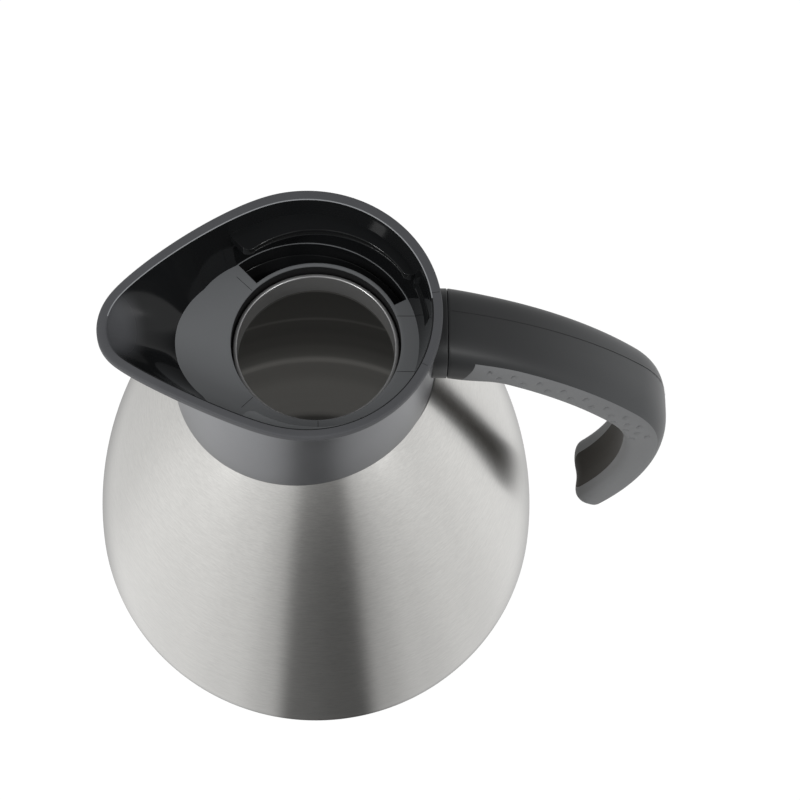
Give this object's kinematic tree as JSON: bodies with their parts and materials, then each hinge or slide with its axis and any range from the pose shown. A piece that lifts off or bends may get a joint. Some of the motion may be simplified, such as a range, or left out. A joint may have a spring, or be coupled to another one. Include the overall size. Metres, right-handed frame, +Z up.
{
  "type": "vacuum carafe",
  "caption": "Open double-walled steel vacuum carafe with a ball-shaped body, a moulded pouring collar with bayonet ledges and a hook-shaped side handle.",
  "frame": {"origin": "centre of the underside, on the body's axis, on the table", "axes": "+Z up out of the neck, -X towards the spout, +X towards the handle"},
  "size_m": [0.1776, 0.14, 0.1937],
  "materials": {
    "body_steel": "brushed round the axis, satin",
    "plate_steel": "as pressed",
    "liner_steel": "electropolished, satin",
    "base_plastic": "fine texture",
    "foil": "bright copper-coloured foil",
    "getter": "sintered, dull",
    "seal": "solder, dull",
    "ring_steel": "spring wire",
    "gasket": "smooth silicone",
    "collar_plastic": "gloss inside, satin grey rim and shelf",
    "shroud_plastic": "satin",
    "core_plastic": "plain",
    "cover_plastic": "satin",
    "grip_plastic": "soft-touch with dimples",
    "screw_steel": "zinc plated"
  },
  "bodies": {
    "root": {"outer_shell": "body_steel", "base_plate": "plate_steel", "base_cap": "base_plastic", "inner_liner": "liner_steel", "liner_bottom": "liner_steel", "reflector_foil": "foil", "getter_pill": "getter", "vacuum_seal": "seal", "snap_ring": "ring_steel", "neck_gasket": "gasket", "spout_collar": "collar_plastic", "collar_shroud": "shroud_plastic", "handle_core": "core_plastic", "handle_cover": "cover_plastic", "handle_grip": "grip_plastic", "handle_screws": "screw_steel"}
  },
  "joints": []
}
